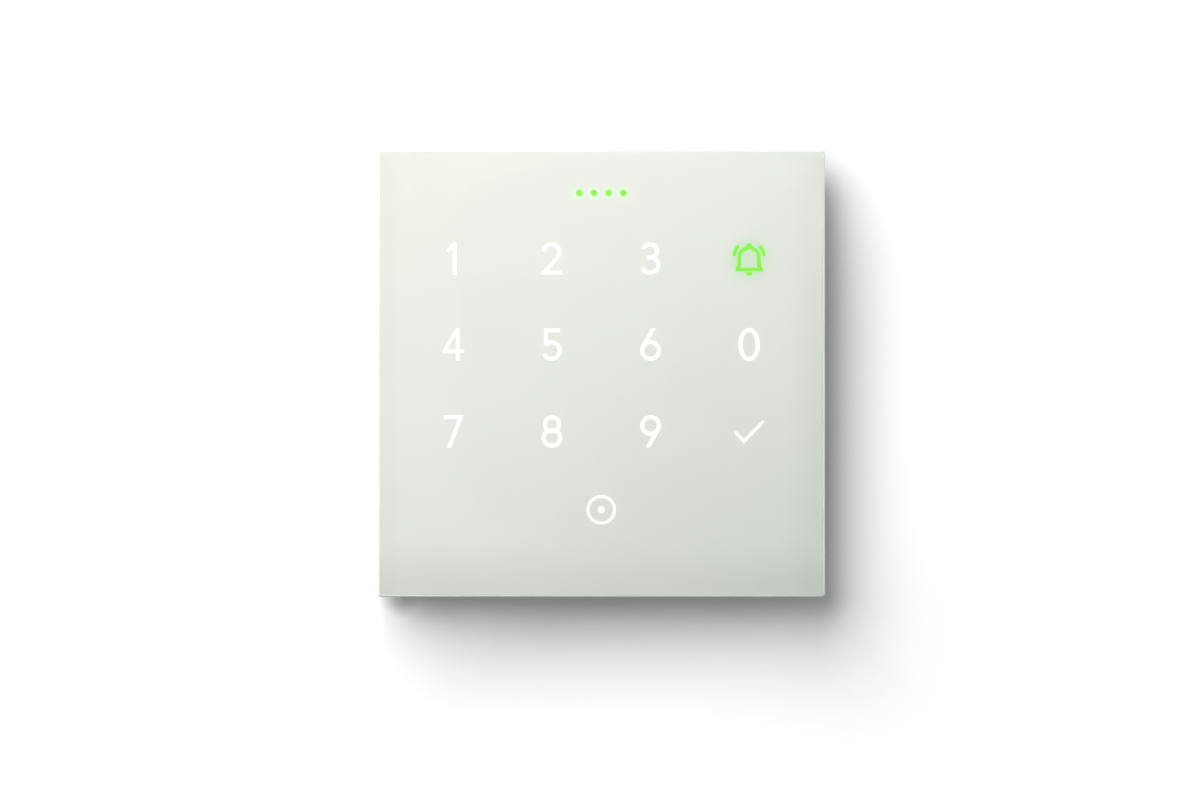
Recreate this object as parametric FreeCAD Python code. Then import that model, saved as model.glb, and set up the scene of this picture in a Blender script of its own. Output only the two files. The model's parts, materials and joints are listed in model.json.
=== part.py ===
import FreeCAD, Part
import math
import os

# Alarm keypad panel: square glass touch keypad with a proximity reader, hung on a wall bracket.
# Millimetres. +Z is up, the glass faces -Y, the wall is the plane y = 0, and the origin is the
# centre of the bracket's 60 mm screw pattern on that plane. Depths are y values: the glass front
# is the most negative one, and the bracket's back lies on y = 0.

# Overall sizes
GLASS_HALF = 47.0
GLASS_FRONT_Y = -15.0
GLASS_BACK_Y = -12.0
GLASS_CORNER_R = 0.8
GLASS_EDGE_CHAMFER = 0.3
PRINT_HALF = 46.6
PRINT_BACK_Y = -11.9
DIFFUSER_HALF = 41.6
DIFFUSER_BACK_Y = -11.55
BOND_OUTER_HALF = 45.0
BOND_INNER_HALF = 42.0
HOUSING_FRONT_Y = -11.3

# Key grid
KEY_X = (-31.13, -10.38, 10.38, 31.13)
KEY_Z = (24.2, 6.07, -12.2)
KEY_ROWS = (("1", "2", "3", "bell"), ("4", "5", "6", "0"), ("7", "8", "9", "tick"))
RING_Z = -28.7
STATUS_Z = 38.0
STATUS_PITCH = 3.09
STATUS_COUNT = 4
STATUS_WINDOW_R = 0.7

# Symbols
STROKE = 0.84
TICK_STROKE = 0.64
RING_STROKE = 0.6
BELL_STROKE = 0.84
WAVE_STROKE = 0.82
DIGIT_TOP = 3.42

# Board and light separator
BOARD_HALF = 41.5
BOARD_FRONT_Y = -9.05
BOARD_BACK_Y = -7.85
SEPARATOR_FRONT_Y = DIFFUSER_BACK_Y
WELL_HALF_X = 6.25
WELL_HALF_Z = 6.0
WELL_CORNER_R = 2.5
RING_WELL_R = 4.4
STATUS_WELL_R = 1.05
COPPER_THICKNESS = 0.05
COIL_RELIEF_Y = -9.35
COIL_HALVES = (39.2, 39.8, 40.4, 41.0)
COIL_TRACK = 0.35
BOSS_OFFSET = 36.5
BOSS_R = 2.6

# Housing
HOUSING_HALF = 45.6
HOUSING_INNER_HALF = 44.0
FLANGE_INNER_HALF = 42.4
FLANGE_BACK_Y = -10.1
REAR_WALL_FRONT_Y = -4.4
REAR_WALL_BACK_Y = -2.7
SKIRT_END_Y = -0.6

# Wall bracket
BRACKET_HALF_X = 43.3
BRACKET_TOP_Z = 41.4
BRACKET_BOTTOM_Z = -43.4
BRACKET_FRONT_Y = -1.2
CABLE_OPENING_HALF = 19.5
WALL_SCREW_OFFSET = 30.0
WALL_SCREW_HOLE_R = 2.25
HOOK_X = (-22.0, 22.0)
HOOK_HALF_WIDTH = 7.0
HOOK_FRONT_Y = -2.7
HOOK_BACK_Y = -1.5
HOOK_TOP_Z = 43.6
HOOK_FOOT_Z = 40.2

# Lock screw
LOCK_Y = -3.9
LOCK_SHANK_R = 1.2
LOCK_THREAD_HOLE_R = 1.25
LOCK_HEAD_R = 2.25
LOCK_WASHER_R = 2.5
LOCK_RECESS_R = 2.8
LOCK_RECESS_FLOOR_Z = -44.8
TAB_TOP_Z = -42.2

# Tamper switch
TAMPER_X = -28.0
TAMPER_Z = -28.0
PLUNGER_R = 1.4
PLUNGER_FLANGE_R = 2.2
PLUNGER_GUIDE_R = 1.45
SPRING_R = 1.6
SPRING_WIRE_R = 0.12

# Terminal block
TERMINAL_Z = 9.0
TERMINAL_PITCH = 3.5
TERMINAL_X = tuple((i - 1.5) * TERMINAL_PITCH for i in range(4))
PLUG_BACK_Y = -0.9
WIRE_ENTRY_Z = TERMINAL_Z - 2.1
RELEASE_Z = TERMINAL_Z + 2.2

CUT = 0.5  # how far cutting shapes run past the faces they open


def vec(x, y, z):
    return FreeCAD.Vector(x, y, z)


def box(x0, x1, y0, y1, z0, z1):
    return Part.makeBox(x1 - x0, y1 - y0, z1 - z0, vec(x0, y0, z0))


def box_at(cx, cz, size_x, size_z, y0, y1):
    return box(cx - size_x / 2, cx + size_x / 2, y0, y1, cz - size_z / 2, cz + size_z / 2)


def disc(cx, cz, radius, y0, y1):
    return Part.makeCylinder(radius, y1 - y0, vec(cx, y0, cz), vec(0, 1, 0))


def upright(cx, cy, radius, z0, z1):
    return Part.makeCylinder(radius, z1 - z0, vec(cx, cy, z0), vec(0, 0, 1))


def prism(edges, y0, y1):
    """Extrude a closed outline drawn at y = 0 in the XZ plane from y0 to y1."""
    face = Part.Face(Part.Wire(edges))
    face.translate(vec(0, y0, 0))
    return face.extrude(vec(0, y1 - y0, 0))


def polygon(points, y0, y1):
    corners = [vec(x, 0, z) for x, z in points]
    return prism(Part.makePolygon(corners + corners[:1]).Edges, y0, y1)


def rounded_plate(half_x, half_z, radius, y0, y1, cx=0.0, cz=0.0):
    block = box(cx - half_x, cx + half_x, y0, y1, cz - half_z, cz + half_z)
    edges = [e for e in block.Edges if abs(e.Vertexes[0].Y - e.Vertexes[1].Y) > (y1 - y0) / 2]
    return block.makeFillet(radius, edges)


def frame(outer_half, outer_r, inner_half, inner_r, y0, y1):
    outer = rounded_plate(outer_half, outer_half, outer_r, y0, y1)
    return outer.cut(rounded_plate(inner_half, inner_half, inner_r, y0 - CUT, y1 + CUT))


def fused(shapes):
    result = shapes[0]
    for shape in shapes[1:]:
        result = result.fuse(shape)
    return result.removeSplitter()


def cut_all(shape, tools):
    for tool in tools:
        shape = shape.cut(tool)
    return shape


def group(shapes):
    return Part.makeCompound([solid for shape in shapes for solid in shape.Solids])


def moved(shape, x, z):
    copy = shape.copy()
    copy.translate(vec(x, 0, z))
    return copy


# Strokes of the symbols. Every symbol is drawn around the centre of its key.

def bar(start, end, width, y0, y1):
    (x0, z0), (x1, z1) = start, end
    length = math.hypot(x1 - x0, z1 - z0)
    side_x = -(z1 - z0) / length * width / 2
    side_z = (x1 - x0) / length * width / 2
    corners = [
        (x0 + side_x, z0 + side_z),
        (x1 + side_x, z1 + side_z),
        (x1 - side_x, z1 - side_z),
        (x0 - side_x, z0 - side_z),
    ]
    return polygon(corners, y0, y1)


def arc_band(centre, radius, width, start_deg, end_deg, y0, y1):
    def point(r, deg):
        angle = math.radians(deg)
        return vec(centre[0] + r * math.cos(angle), 0, centre[1] + r * math.sin(angle))

    outer, inner = radius + width / 2, radius - width / 2
    middle = (start_deg + end_deg) / 2
    edges = [
        Part.Arc(point(outer, start_deg), point(outer, middle), point(outer, end_deg)).toShape(),
        Part.makeLine(point(outer, end_deg), point(inner, end_deg)),
        Part.Arc(point(inner, end_deg), point(inner, middle), point(inner, start_deg)).toShape(),
        Part.makeLine(point(inner, start_deg), point(outer, start_deg)),
    ]
    return prism(edges, y0, y1)


def oval(centre, half_x, half_z, y0, y1):
    cx, cz = centre
    middle = vec(cx, 0, cz)
    if half_z > half_x:
        curve = Part.Ellipse(vec(cx, 0, cz + half_z), vec(cx + half_x, 0, cz), middle)
    else:
        curve = Part.Ellipse(vec(cx + half_x, 0, cz), vec(cx, 0, cz + half_z), middle)
    return prism([curve.toShape()], y0, y1)


def oval_band(centre, half_x, half_z, width, y0, y1):
    """Stroke along an ellipse whose outer edge has the given half sizes."""
    outer = oval(centre, half_x, half_z, y0, y1)
    return outer.cut(oval(centre, half_x - width, half_z - width, y0 - CUT, y1 + CUT))


def open_oval(centre, half_x, half_z, width, gap_start_deg, gap_end_deg, y0, y1):
    """Oval stroke with a gap, counted anticlockwise as seen from the front."""
    reach = 3 * max(half_x, half_z)
    gap = [centre]
    for deg in (gap_start_deg, (gap_start_deg + gap_end_deg) / 2, gap_end_deg):
        angle = math.radians(deg)
        gap.append((centre[0] + reach * math.cos(angle), centre[1] + reach * math.sin(angle)))
    return oval_band(centre, half_x, half_z, width, y0, y1).cut(polygon(gap, y0 - CUT, y1 + CUT))


def stroke_along(points, width, y0, y1):
    parts = [bar(start, end, width, y0, y1) for start, end in zip(points, points[1:])]
    parts += [disc(x, z, width / 2, y0, y1) for x, z in points[1:-1]]
    return fused(parts)


def ring_band(centre, outer_r, width, y0, y1):
    outer = disc(centre[0], centre[1], outer_r, y0, y1)
    return outer.cut(disc(centre[0], centre[1], outer_r - width, y0 - CUT, y1 + CUT))


def digit_one(y0, y1):
    top = DIGIT_TOP
    stem = bar((0.28, -top), (0.28, top), STROKE, y0, y1)
    flag = [(0.7, top), (0.2, top), (-1.6, 1.7), (-1.14, 1.28), (0.0, 2.3)]
    return fused([stem, polygon(flag, y0, y1)])


def digit_two(y0, y1):
    top = DIGIT_TOP
    bowl_r, bowl_z = 1.68, top - 2.1
    bowl = arc_band((-0.1, bowl_z), bowl_r, STROKE, -42, 174, y0, y1)
    angle = math.radians(-42)
    turn = (-0.1 + bowl_r * math.cos(angle), bowl_z + bowl_r * math.sin(angle))
    diagonal = bar(turn, (-1.6, -top + STROKE / 2), STROKE, y0, y1)
    base = bar((-2.2, -top + STROKE / 2), (2.1, -top + STROKE / 2), STROKE, y0, y1)
    joint = disc(turn[0], turn[1], STROKE / 2, y0, y1)
    glyph = fused([bowl, joint, diagonal, base])
    return glyph.common(box(-2.2, 3, y0, y1, -top, top))


def digit_three(y0, y1):
    middle_x, waist_z, waist_half = -0.1, 0.2, STROKE / 2
    upper_half_z = (DIGIT_TOP - waist_z + waist_half) / 2
    lower_half_z = (DIGIT_TOP + waist_z + waist_half) / 2
    upper_centre = (middle_x, DIGIT_TOP - upper_half_z)
    lower_centre = (middle_x, -DIGIT_TOP + lower_half_z)
    upper = open_oval(upper_centre, 1.9, upper_half_z, STROKE, 164, 270, y0, y1)
    lower = open_oval(lower_centre, 2.18, lower_half_z, STROKE, 90, 199, y0, y1)
    waist = box(-0.86, middle_x, y0, y1, waist_z - waist_half, waist_z + waist_half)
    return fused([upper, lower, waist])


def digit_four(y0, y1):
    top = DIGIT_TOP
    stem_x = 0.92
    bar_z = -1.42
    stem = bar((stem_x, -top), (stem_x, top), STROKE, y0, y1)
    cross = bar((-2.0, bar_z), (2.26, bar_z), STROKE, y0, y1)
    left, right = stem_x - STROKE / 2, stem_x + STROKE / 2
    slope = [
        (right, top), (left + 0.1, top), (-2.25, bar_z + 0.25), (-2.25, bar_z - STROKE / 2),
        (-1.7, bar_z - STROKE / 2), (-1.3, bar_z + STROKE / 2 - 0.05), (left + 0.1, 2.1),
    ]
    return fused([stem, cross, polygon(slope, y0, y1)])


def digit_five(y0, y1):
    top = DIGIT_TOP
    bowl_r = 2.15 - STROKE / 2
    bowl_z = -top + 2.15
    bowl = arc_band((-0.1, bowl_z), bowl_r, STROKE, -156, 136, y0, y1)
    left, right = -1.68, -0.86
    lip = box(left, 1.72, y0, y1, top - STROKE, top)
    stem = polygon([(left, top), (right, top), (right, 0.3), (-1.04, -0.36), (left, -0.12)], y0, y1)
    return fused([bowl, lip, stem])


def digit_six(y0, y1):
    top = DIGIT_TOP
    bowl_outer = 2.18
    bowl_z = -top + bowl_outer
    bowl = ring_band((0, bowl_z), bowl_outer, STROKE, y0, y1)
    middle_r = bowl_outer - STROKE / 2
    reach = (0.66, top + 0.1)
    sweep_deg = 152
    angle = math.radians(sweep_deg)
    touch = (middle_r * math.cos(angle), bowl_z + middle_r * math.sin(angle))
    stem = bar(touch, reach, STROKE, y0, y1)
    joint = disc(touch[0], touch[1], STROKE / 2, y0, y1)
    glyph = fused([bowl, joint, stem])
    return glyph.common(box(-3, 3, y0, y1, -top, top))


def digit_seven(y0, y1):
    top = DIGIT_TOP
    lip = box(-2.05, 1.9, y0, y1, top - STROKE, top)
    slope = bar((1.777, top + 0.2), (-0.96, -top - 0.1), STROKE, y0, y1)
    glyph = fused([lip, slope])
    return glyph.common(box(-3, 2.1, y0, y1, -top, top))


def digit_eight(y0, y1):
    top = DIGIT_TOP
    upper_r = 1.93
    lower_half_x, lower_half_z = 2.2, 2.03
    upper = ring_band((0, top - upper_r), upper_r, STROKE, y0, y1)
    lower = oval_band((0, -top + lower_half_z), lower_half_x, lower_half_z, STROKE, y0, y1)
    return fused([upper, lower])


def digit_nine(y0, y1):
    glyph = digit_six(y0, y1)
    glyph.rotate(vec(0, 0, 0), vec(0, 1, 0), 180)
    return glyph


def digit_zero(y0, y1):
    return oval_band((0, 0), 2.24, 3.53, STROKE, y0, y1)


def tick(y0, y1):
    left, low, right = (-2.78, -0.3), (-1.08, -2.1), (2.82, 1.9)
    w = TICK_STROKE
    parts = [bar(left, low, w, y0, y1), bar(low, right, w, y0, y1)]
    parts += [disc(x, z, w / 2, y0, y1) for x, z in (left, right)]
    point = [(low[0] - 0.25, low[1] - 0.23), (low[0], low[1] - 0.48), (low[0] + 0.24, low[1] - 0.24)]
    parts.append(polygon(point + [low], y0, y1))
    return fused(parts)


def bell(y0, y1):
    base_z, base_half_x = -2.32, 2.88
    side = [
        (2.45, base_z), (2.08, -1.35), (2.04, 0.4), (1.97, 0.85), (1.78, 1.27), (1.45, 1.64),
        (1.0, 1.94), (0.5, 2.2), (0.0, 2.42),
    ]
    parts = [stroke_along(side, BELL_STROKE, y0, y1)]
    parts.append(stroke_along([(-x, z) for x, z in side], BELL_STROKE, y0, y1))
    parts.append(disc(0, 2.64, 0.62, y0, y1))
    parts.append(bar((-base_half_x, base_z), (base_half_x, base_z), BELL_STROKE, y0, y1))
    outline = fused(parts)
    clapper = polygon([(-0.8, -2.84), (0.8, -2.84), (0.5, -3.62), (-0.5, -3.62)], y0, y1)
    wave_centre, wave_r = (0, 0.34), 3.17
    waves = [arc_band(wave_centre, wave_r, WAVE_STROKE, start, start + 44, y0, y1)
             for start in (3, 133)]
    return group([outline, clapper] + waves)


GLYPHS = {
    "0": digit_zero, "1": digit_one, "2": digit_two, "3": digit_three, "4": digit_four,
    "5": digit_five, "6": digit_six, "7": digit_seven, "8": digit_eight, "9": digit_nine,
    "tick": tick, "bell": bell,
}


def key_positions():
    for row, z in zip(KEY_ROWS, KEY_Z):
        for name, x in zip(row, KEY_X):
            yield name, x, z


def status_positions():
    for i in range(STATUS_COUNT):
        yield (i - (STATUS_COUNT - 1) / 2) * STATUS_PITCH, STATUS_Z


def white_symbols(y0, y1):
    shapes = [moved(GLYPHS[name](y0, y1), x, z) for name, x, z in key_positions() if name != "bell"]
    ring = ring_band((0, RING_Z), 3.1, RING_STROKE, y0, y1)
    return shapes + [ring, disc(0, RING_Z, 0.72, y0, y1)]


def green_symbols(y0, y1):
    shapes = [moved(GLYPHS[name](y0, y1), x, z) for name, x, z in key_positions() if name == "bell"]
    return shapes + [disc(x, z, STATUS_WINDOW_R, y0, y1) for x, z in status_positions()]


# Front unit

def glass_front():
    plate = rounded_plate(GLASS_HALF, GLASS_HALF, GLASS_CORNER_R, GLASS_FRONT_Y, GLASS_BACK_Y)
    rim = [
        edge
        for edge in plate.Edges
        if all(abs(v.Y - GLASS_FRONT_Y) < 0.01 for v in edge.Vertexes)
        or all(abs(v.Y - GLASS_BACK_Y) < 0.01 for v in edge.Vertexes)
    ]
    return plate.makeChamfer(GLASS_EDGE_CHAMFER, rim)


def icon_print_layer():
    sheet = rounded_plate(PRINT_HALF, PRINT_HALF, 0.6, GLASS_BACK_Y, PRINT_BACK_Y)
    y0, y1 = GLASS_BACK_Y - CUT, PRINT_BACK_Y + CUT
    return cut_all(sheet, white_symbols(y0, y1) + green_symbols(y0, y1))


def light_separator():
    y0, y1 = SEPARATOR_FRONT_Y, BOARD_FRONT_Y
    block = rounded_plate(BOARD_HALF, BOARD_HALF, 1.0, y0, y1)
    tools = []
    for name, x, z in key_positions():
        tools.append(rounded_plate(
            WELL_HALF_X, WELL_HALF_Z, WELL_CORNER_R, y0 - CUT, y1 + CUT, x, z))
    tools.append(disc(0, RING_Z, RING_WELL_R, y0 - CUT, y1 + CUT))
    tools += [disc(x, z, STATUS_WELL_R, y0 - CUT, y1 + CUT) for x, z in status_positions()]
    notch = 7.0
    for sx in (-1, 1):
        for sz in (-1, 1):
            cx = sx * (BOARD_HALF - notch / 2 + CUT)
            cz = sz * (BOARD_HALF - notch / 2 + CUT)
            tools.append(box_at(cx, cz, notch + 2 * CUT, notch + 2 * CUT, y0 - CUT, y1 + CUT))
    coil_relief = frame(BOARD_HALF + CUT, 0.5, 38.6, 0.5, COIL_RELIEF_Y, y1 + CUT)
    return cut_all(block, tools + [coil_relief])


def main_pcb():
    board = rounded_plate(BOARD_HALF, BOARD_HALF, 1.5, BOARD_FRONT_Y, BOARD_BACK_Y)
    return cut_all(board, [
        disc(x, z, 1.1, BOARD_FRONT_Y - CUT, BOARD_BACK_Y + CUT) for x, z in boss_positions()])


def boss_positions():
    return [(sx * BOSS_OFFSET, sz * BOSS_OFFSET) for sx in (-1, 1) for sz in (-1, 1)]


def touch_pads():
    y0, y1 = BOARD_FRONT_Y - COPPER_THICKNESS, BOARD_FRONT_Y
    pads = []
    for name, x, z in key_positions():
        outer = rounded_plate(5.8, 5.55, 2.2, y0, y1, x, z)
        pads.append(outer.cut(rounded_plate(2.6, 2.6, 0.6, y0 - CUT, y1 + CUT, x, z)))
    pads.append(ring_band((0, RING_Z), 4.1, 1.6, y0, y1))
    return group(pads)


def antenna_coil():
    y0, y1 = BOARD_FRONT_Y - COPPER_THICKNESS, BOARD_FRONT_Y
    return group([
        frame(half + COIL_TRACK / 2, 1.2, half - COIL_TRACK / 2, 0.9, y0, y1)
        for half in COIL_HALVES])


def led(x, z, size_x, size_z, height):
    body = box_at(x, z, size_x, size_z, BOARD_FRONT_Y - height, BOARD_FRONT_Y)
    lens_r = 0.38 * min(size_x, size_z)
    cup = disc(x, z, lens_r, BOARD_FRONT_Y - height - CUT, BOARD_FRONT_Y - height * 0.75)
    return body.cut(cup)


def icon_leds():
    leds = [led(x, z, 3.4, 2.8, 1.4) for name, x, z in key_positions() if name != "bell"]
    return group(leds + [led(0, RING_Z, 3.4, 2.8, 1.4)])


def status_leds():
    leds = [led(x, z, 3.4, 2.8, 1.4) for name, x, z in key_positions() if name == "bell"]
    return group(leds + [led(x, z, 0.8, 1.4, 0.6) for x, z in status_positions()])


def ferrite_strips():
    y0, y1 = BOARD_BACK_Y, BOARD_BACK_Y + 0.25
    centre, width, length = 37.9, 4.8, 66.0
    strips = []
    for side in (-1, 1):
        strips.append(box_at(0, side * centre, length, width, y0, y1))
        strips.append(box_at(side * centre, 0, width, length, y0, y1))
    return group(strips)


def chip(x, z, size_x, size_z, height):
    body = box_at(x, z, size_x, size_z, BOARD_BACK_Y + 0.1, BOARD_BACK_Y + height)
    top = [e for e in body.Edges if all(abs(v.Y - BOARD_BACK_Y - height) < 0.01 for v in e.Vertexes)]
    return body.makeChamfer(0.15, top)


def leads(x, z, size_x, size_z, pitch, per_side_x, per_side_z):
    """Flat leads on the board along the left and right (per_side_z) and other two sides."""
    y0, y1 = BOARD_BACK_Y, BOARD_BACK_Y + 0.1
    reach, width = 0.9, pitch * 0.45
    result = []
    for i in range(per_side_z):
        lead_z = z + (i - (per_side_z - 1) / 2) * pitch
        for side in (-1, 1):
            lead_x = x + side * (size_x / 2 + reach / 2 - 0.3)
            result.append(box_at(lead_x, lead_z, reach, width, y0, y1))
    for i in range(per_side_x):
        lead_x = x + (i - (per_side_x - 1) / 2) * pitch
        for side in (-1, 1):
            lead_z = z + side * (size_z / 2 + reach / 2 - 0.3)
            result.append(box_at(lead_x, lead_z, width, reach, y0, y1))
    return result


MCU = (-20.0, 24.0, 8.0, 8.0)
TOUCH_CONTROLLER = (-25.0, 4.0, 7.0, 7.0)
READER = (22.0, 25.0, 5.0, 5.0)
BUS_DRIVER = (-8.0, -15.0, 5.0, 4.0)


def chip_leads():
    parts = leads(*MCU, 0.8, 9, 9)
    parts += leads(*TOUCH_CONTROLLER, 0.8, 8, 8)
    parts += leads(*READER, 0.65, 6, 6)
    parts += leads(*BUS_DRIVER, 1.27, 4, 0)
    return group(parts)


def power_inductor():
    x, z, half = 14.0, -16.0, 3.0
    y0 = BOARD_BACK_Y
    base = rounded_plate(half, half, 1.2, y0, y0 + 0.5, x, z)
    drum = disc(x, z, 2.4, y0 + 0.5, y0 + 2.1)
    cap = rounded_plate(half, half, 1.2, y0 + 2.1, y0 + 2.6, x, z)
    return fused([base, drum, cap])


def buffer_capacitors():
    y0 = BOARD_BACK_Y
    cans = []
    for x in (-3.0, 3.0):
        z = -24.0
        foot = rounded_plate(2.2, 2.2, 0.5, y0, y0 + 0.5, x, z)
        can = disc(x, z, 2.0, y0 + 0.5, y0 + 3.1)
        cans.append(fused([foot, can]))
    return group(cans)


def ceramic_capacitors():
    y0 = BOARD_BACK_Y
    places = [(MCU[0] + 7.5, MCU[1] + dz) for dz in (-4, -1, 2, 5)]
    places += [(TOUCH_CONTROLLER[0] + 7, TOUCH_CONTROLLER[1] + dz) for dz in (-3, 0, 3)]
    places += [(READER[0] + dx, READER[1] - 6) for dx in (-4, -1, 2, 5)]
    places += [(BUS_DRIVER[0] + dx, BUS_DRIVER[1] + 5.0) for dx in (-3, 0, 3)]
    return group([box_at(x, z, 1.6, 0.8, y0, y0 + 0.8) for x, z in places])


def buzzer():
    x, z = 28.0, -29.0
    case = disc(x, z, 6.0, BOARD_BACK_Y, BOARD_BACK_Y + 2.8)
    return case.cut(disc(x, z, 1.0, BOARD_BACK_Y + 1.4, BOARD_BACK_Y + 2.8 + CUT))


def terminal_header():
    y0, rim_y = BOARD_BACK_Y, -3.2
    shroud = rounded_plate(8.8, 4.6, 0.4, y0, rim_y, 0, TERMINAL_Z)
    cavity = rounded_plate(7.9, 3.7, 0.3, y0 + 1.25, rim_y + CUT, 0, TERMINAL_Z)
    tools = [box_at(x, TERMINAL_Z, 1.0, 1.0, y0 - CUT, y0 + 2.0) for x in TERMINAL_X]
    keys = [box(x - 0.5, x + 0.5, y0 + 1.25, rim_y + CUT, TERMINAL_Z - 5.0, TERMINAL_Z - 3.5)
            for x in TERMINAL_X]
    return cut_all(shroud, [cavity] + tools + keys)


def header_pins():
    pins = [box_at(x, TERMINAL_Z, 1.0, 1.0, BOARD_BACK_Y, -3.8) for x in TERMINAL_X]
    return group(pins)


def tamper_switch_case():
    y0, y1 = BOARD_BACK_Y, -5.45
    case = rounded_plate(3.8, 3.8, 0.4, y0, y1, TAMPER_X, TAMPER_Z)
    return case.cut(disc(TAMPER_X, TAMPER_Z, 2.7, y0 + 0.2, y1 + CUT))


def tamper_spring():
    """Compression spring between the switch's floor and the plunger's flange."""
    start_y, length, turns = -7.5, 2.05, 3
    helix = Part.makeHelix(length / turns, length, SPRING_R)
    sides = 8
    corners = []
    for i in range(sides):
        angle = 2 * math.pi * (i + 0.5) / sides
        across, along = SPRING_WIRE_R * math.cos(angle), SPRING_WIRE_R * math.sin(angle)
        corners.append(vec(SPRING_R + across, 0, along))
    profile = Part.makePolygon(corners + corners[:1])
    coil = Part.Wire(helix.Edges).makePipeShell([profile], True, True)
    coil.rotate(vec(0, 0, 0), vec(1, 0, 0), -90)
    coil.translate(vec(TAMPER_X, start_y, TAMPER_Z))
    return coil


def pcb_screws():
    screws = []
    for x, z in boss_positions():
        head = disc(x, z, 1.9, BOARD_FRONT_Y - 1.1, BOARD_FRONT_Y)
        slot = disc(x, z, 0.7, BOARD_FRONT_Y - 1.1 - CUT, BOARD_FRONT_Y - 0.5)
        shank = disc(x, z, 0.95, BOARD_FRONT_Y, -4.9)
        screws.append(fused([head, shank]).cut(slot))
    return group(screws)


def rear_housing():
    shell = rounded_plate(HOUSING_HALF, HOUSING_HALF, 2.0, HOUSING_FRONT_Y, SKIRT_END_Y)
    inner = rounded_plate(
        HOUSING_INNER_HALF, HOUSING_INNER_HALF, 1.2, FLANGE_BACK_Y, REAR_WALL_FRONT_Y)
    mouth = rounded_plate(
        FLANGE_INNER_HALF, FLANGE_INNER_HALF, 1.0, HOUSING_FRONT_Y - CUT, FLANGE_BACK_Y)
    recess = rounded_plate(
        HOUSING_INNER_HALF, HOUSING_INNER_HALF, 1.2, REAR_WALL_BACK_Y, SKIRT_END_Y + CUT)
    shell = cut_all(shell, [inner, mouth, recess])

    added = [disc(x, z, BOSS_R, BOARD_BACK_Y, REAR_WALL_FRONT_Y) for x, z in boss_positions()]
    for along in (-16.0, 16.0):
        for side in (-1, 1):
            rib_x = side * (HOUSING_INNER_HALF - 1.7)
            added.append(box_at(rib_x, along, 3.6, 1.4, BOARD_BACK_Y, REAR_WALL_FRONT_Y))
            added.append(box_at(along, rib_x, 1.4, 3.6, BOARD_BACK_Y, REAR_WALL_FRONT_Y))
    added.append(disc(TAMPER_X, TAMPER_Z, 2.6, REAR_WALL_FRONT_Y, REAR_WALL_BACK_Y))
    niche_back = -7.5
    added.append(box(-7.6, 7.6, niche_back, REAR_WALL_FRONT_Y, -HOUSING_INNER_HALF, -36.6))
    for x in HOOK_X:
        added.append(box(x - 6, x + 6, -1.25, SKIRT_END_Y, 42.2, HOUSING_INNER_HALF))
    shell = fused([shell] + added)

    tools = [disc(x, z, 1.0, BOARD_BACK_Y - CUT, -4.6) for x, z in boss_positions()]
    tools.append(disc(TAMPER_X, TAMPER_Z, PLUNGER_GUIDE_R, -6, 0))
    tools.append(rounded_plate(11.0, 6.5, 1.0, -6, REAR_WALL_BACK_Y + CUT, 0, TERMINAL_Z))
    for x, z in wall_screw_positions():
        tools.append(disc(x, z, 4.6, -3.8, REAR_WALL_BACK_Y + CUT))
    for x in HOOK_X:
        tools.append(box(x - 7.8, x + 7.8, -3.2, REAR_WALL_BACK_Y + CUT, 39.4, HOUSING_INNER_HALF))
    tools.append(box(-6.6, 6.6, -6.8, REAR_WALL_BACK_Y + CUT, -HOUSING_INNER_HALF, -37.6))
    tools += lock_cutouts()
    for i in range(5):
        slot_x = 22.0 + 3.0 * i
        tools.append(box(slot_x, slot_x + 1.2, -9.0, -5.2, -HOUSING_HALF - CUT, -43.5))
    return cut_all(shell, tools)


def lock_cutouts():
    """Slot and recess for the lock screw, both open towards the wall so the unit can swing out."""
    slot_r = LOCK_SHANK_R + 0.4
    low, high = -HOUSING_HALF - CUT, -43.5
    shapes = [upright(0, LOCK_Y, slot_r, low, high), box(-slot_r, slot_r, LOCK_Y, 0, low, high)]
    shapes.append(upright(0, LOCK_Y, LOCK_RECESS_R, low, LOCK_RECESS_FLOOR_Z))
    shapes.append(box(-LOCK_RECESS_R, LOCK_RECESS_R, LOCK_Y, 0, low, LOCK_RECESS_FLOOR_Z))
    return shapes


def tamper_plunger():
    flange = disc(TAMPER_X, TAMPER_Z, PLUNGER_FLANGE_R, -5.2, -4.6)
    stem = disc(TAMPER_X, TAMPER_Z, PLUNGER_R, -4.6, 0)
    tip = [e for e in stem.Edges if abs(e.BoundBox.YMin) < 0.01 and e.BoundBox.ZLength > 1]
    return fused([flange, stem.makeFillet(0.5, tip)])


def terminal_plug():
    inner_y, step_y = -6.4, -3.0
    insert = rounded_plate(7.6, 3.4, 0.3, inner_y, step_y, 0, TERMINAL_Z)
    head = rounded_plate(8.6, 4.5, 0.5, step_y, PLUG_BACK_Y, 0, TERMINAL_Z)
    body = fused([insert, head])
    tools = []
    for x in TERMINAL_X:
        tools.append(box_at(x, WIRE_ENTRY_Z, 1.9, 1.9, -5.4, PLUG_BACK_Y + CUT))
        tools.append(box_at(x, WIRE_ENTRY_Z, 2.4, 2.4, PLUG_BACK_Y - 0.5, PLUG_BACK_Y + CUT))
        tools.append(box_at(x, TERMINAL_Z, 1.3, 1.3, inner_y - CUT, -3.4))
        tools.append(box_at(x, RELEASE_Z, 2.1, 1.9, -5.6, PLUG_BACK_Y + CUT))
    grip = 0.4
    for side in (-1, 1):
        for dz in (-2.4, -0.8, 0.8, 2.4):
            tools.append(box_at(side * 8.6, TERMINAL_Z + dz, 2 * grip, 0.6, -2.6, PLUG_BACK_Y + CUT))
    return cut_all(body, tools)


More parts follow.
